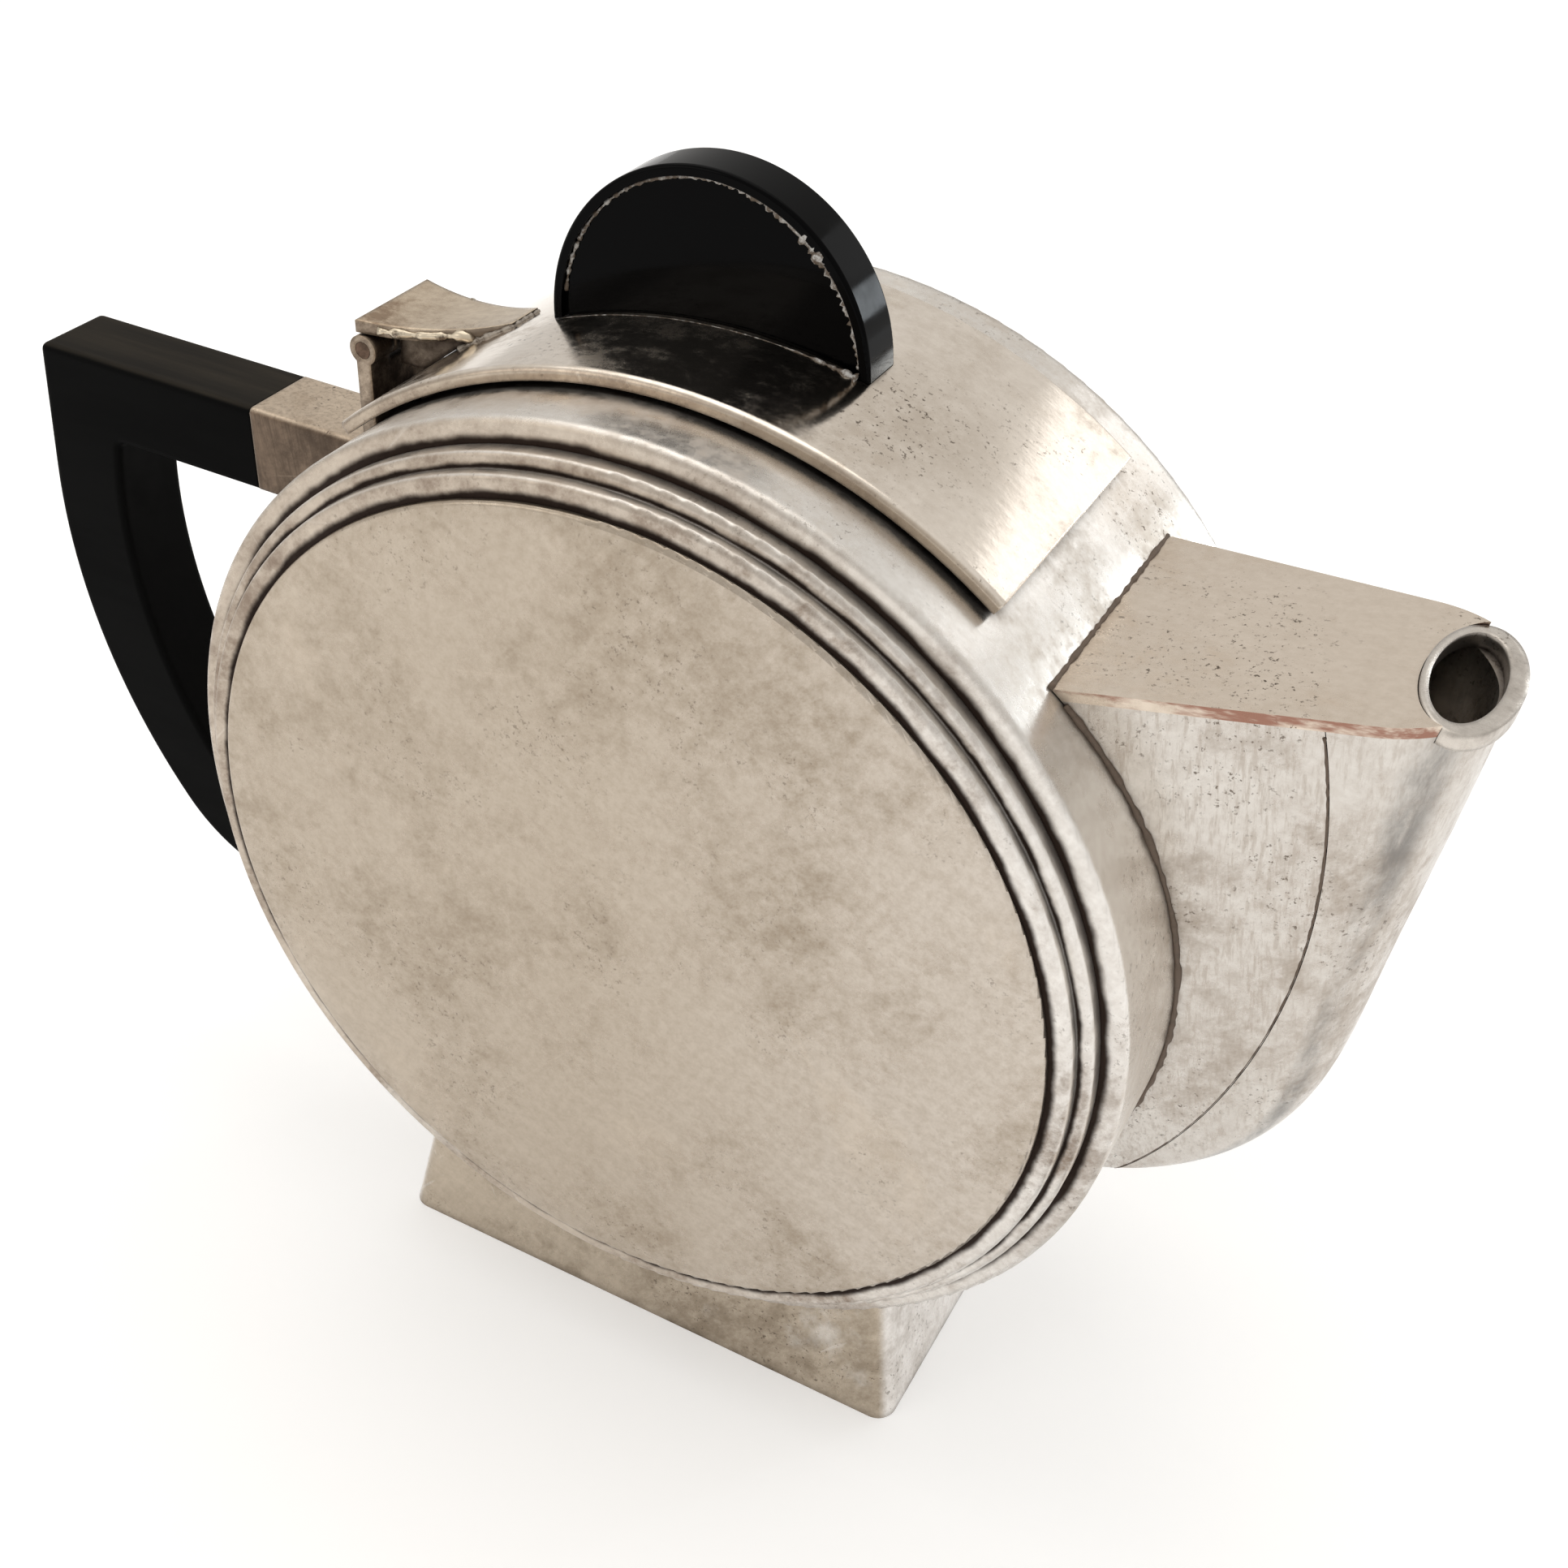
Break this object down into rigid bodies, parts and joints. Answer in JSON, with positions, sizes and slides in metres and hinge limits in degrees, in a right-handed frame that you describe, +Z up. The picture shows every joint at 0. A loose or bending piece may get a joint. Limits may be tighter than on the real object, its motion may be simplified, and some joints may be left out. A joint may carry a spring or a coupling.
{
  "type": "drum teapot with hinged lid",
  "caption": "Small plated drum teapot on a tapered foot, with stepped round faces, a wedge spout, a dark square handle and a hinged curved lid with an upright half-disc knob.",
  "frame": {"origin": "centre of the foot's underside", "axes": "+X towards the spout, +Z up, the drum's axis along Y with the pictured face at -Y"},
  "size_m": [0.2068, 0.0684, 0.1698],
  "materials": {
    "silver_plate": "satin silver plate, lightly tarnished",
    "hinge_metal": "worn silver plate",
    "fixings": "dull turned metal",
    "handle_ebony": "matte ebonised wood",
    "knob_black": "polished black"
  },
  "bodies": {
    "pot": {"body_band": "silver_plate", "front_face": "silver_plate", "rear_face": "silver_plate", "front_moulding": "silver_plate", "rear_moulding": "silver_plate", "foot": "silver_plate", "foot_plate": "silver_plate", "spout_shell": "silver_plate", "spout_nose": "silver_plate", "spout_top_plate": "silver_plate", "spout_lip": "silver_plate", "spout_strainer": "silver_plate", "upper_socket": "silver_plate", "lower_socket": "silver_plate", "hinge_bracket": "hinge_metal", "hinge_pin": "hinge_metal", "handle_pins": "fixings", "handle": "handle_ebony"},
    "lid_assembly": {"lid": "silver_plate", "lid_bezel": "silver_plate", "hinge_leaf": "hinge_metal", "lid_knob": "knob_black", "knob_studs": "fixings", "knob_nuts": "fixings", "knob_washers": "fixings"}
  },
  "joints": [
    {"name": "lid_hinge", "type": "hinge", "parent": "pot", "child": "lid_assembly", "pos_m": [-0.05134, 0, 0.13763], "axis": [0, -1, 0], "range_deg": [0, 100]}
  ]
}
